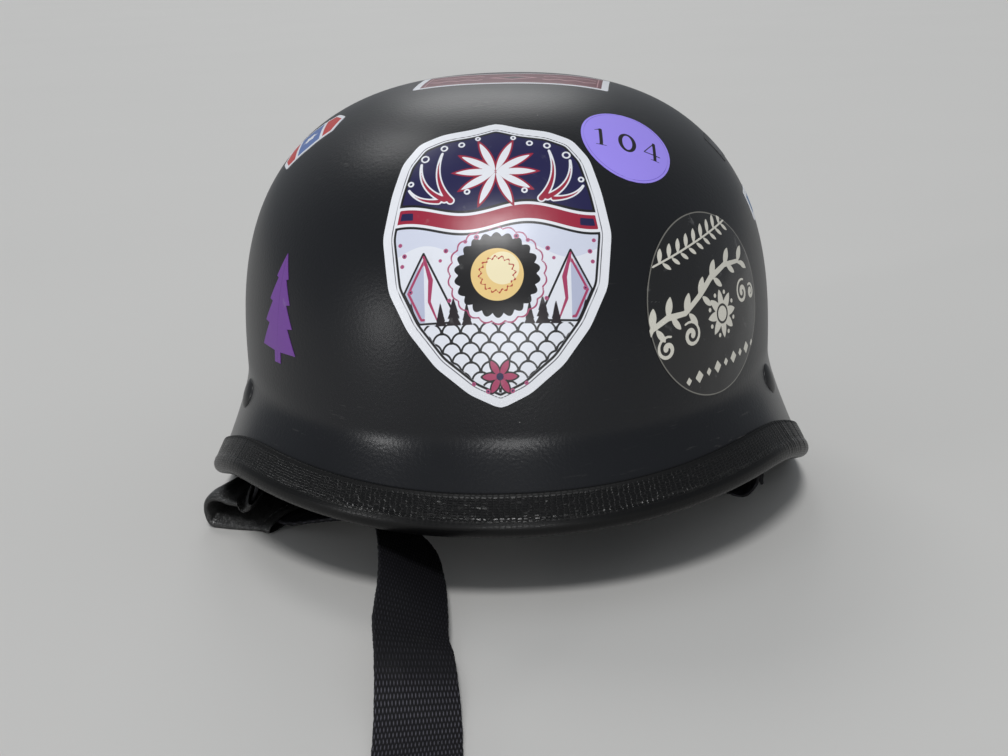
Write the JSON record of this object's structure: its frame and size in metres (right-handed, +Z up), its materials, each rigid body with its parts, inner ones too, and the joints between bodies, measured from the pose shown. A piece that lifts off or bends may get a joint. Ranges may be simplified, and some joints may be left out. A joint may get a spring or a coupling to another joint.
{
  "type": "motorcycle half helmet",
  "caption": "Half helmet with a flared brim, a wide textured edge trim, a foam liner with pads, leatherette strap sleeves and a webbing chin strap that closes with double D-rings.",
  "frame": {"origin": "on the table that the rim stands on, under the centre of the dome", "axes": "+Z up, -Y out of the brow, +X to the wearer's left"},
  "size_m": [0.2406, 0.4335, 0.164],
  "materials": {
    "shell_black": "matte",
    "trim_black": "satin",
    "foam_black": "matte",
    "pad_cloth": "matte",
    "hook_tape": "matte",
    "black_steel": "satin",
    "bare_steel": "satin",
    "webbing": "matte",
    "leatherette": "satin"
  },
  "bodies": {
    "helmet": {"shell": "shell_black", "edge_trim": "trim_black", "impact_liner": "foam_black", "crown_pad": "pad_cloth", "brow_pad": "pad_cloth", "right_temple_pad": "pad_cloth", "left_temple_pad": "pad_cloth", "nape_pad": "pad_cloth", "pad_patches": "hook_tape", "strap_rivets": "black_steel", "rivet_spacers": "bare_steel", "rivet_burrs": "bare_steel", "right_front_hanger": "black_steel", "right_rear_hanger": "black_steel", "left_front_hanger": "black_steel", "left_rear_hanger": "black_steel"},
    "right_harness": {"right_front_ring": "bare_steel", "right_rear_ring": "bare_steel", "right_strap": "webbing", "right_rear_leg": "webbing", "right_sleeve": "leatherette"},
    "tail_upper": {"tail_strap_upper": "webbing"},
    "tail_lower": {"tail_strap_lower": "webbing", "tail_snap": "black_steel"},
    "left_harness": {"left_front_ring": "bare_steel", "left_rear_ring": "bare_steel", "left_strap": "webbing", "left_rear_leg": "webbing", "left_sleeve": "leatherette", "snap_stud": "bare_steel"},
    "outer_ring": {"outer_d_ring": "bare_steel"},
    "inner_ring": {"inner_d_ring": "bare_steel"}
  },
  "joints": [
    {"name": "right_harness_swing", "type": "hinge", "parent": "helmet", "child": "right_harness", "pos_m": [-0.0948, 0, 0.038], "axis": [0, -1, 0], "range_deg": [0, 60]},
    {"name": "tail_drop", "type": "hinge", "parent": "right_harness", "child": "tail_upper", "pos_m": [-0.082, -0.046, 0.0034], "axis": [0.6, 0.8, 0], "range_deg": [0, 75]},
    {"name": "tail_lift", "type": "hinge", "parent": "tail_upper", "child": "tail_lower", "pos_m": [-0.0304, -0.172, 0.011], "axis": [-0.9874, -0.158, 0], "range_deg": [-30, 80]},
    {"name": "left_harness_swing", "type": "hinge", "parent": "helmet", "child": "left_harness", "pos_m": [0.0948, 0, 0.038], "axis": [0, 1, 0], "range_deg": [-15, 60]},
    {"name": "outer_d_ring_turn", "type": "hinge", "parent": "left_harness", "child": "outer_ring", "pos_m": [0.046, -0.002, 0.008], "axis": [0.6607, 0.7506, 0], "range_deg": [0, 120]},
    {"name": "inner_d_ring_turn", "type": "hinge", "parent": "left_harness", "child": "inner_ring", "pos_m": [0.046, -0.002, 0.0039], "axis": [0.6607, 0.7506, 0], "range_deg": [-60, 0]}
  ],
  "couplings": [
    {"joint": "tail_drop", "follows": "right_harness_swing", "ratio": 1.25}
  ]
}
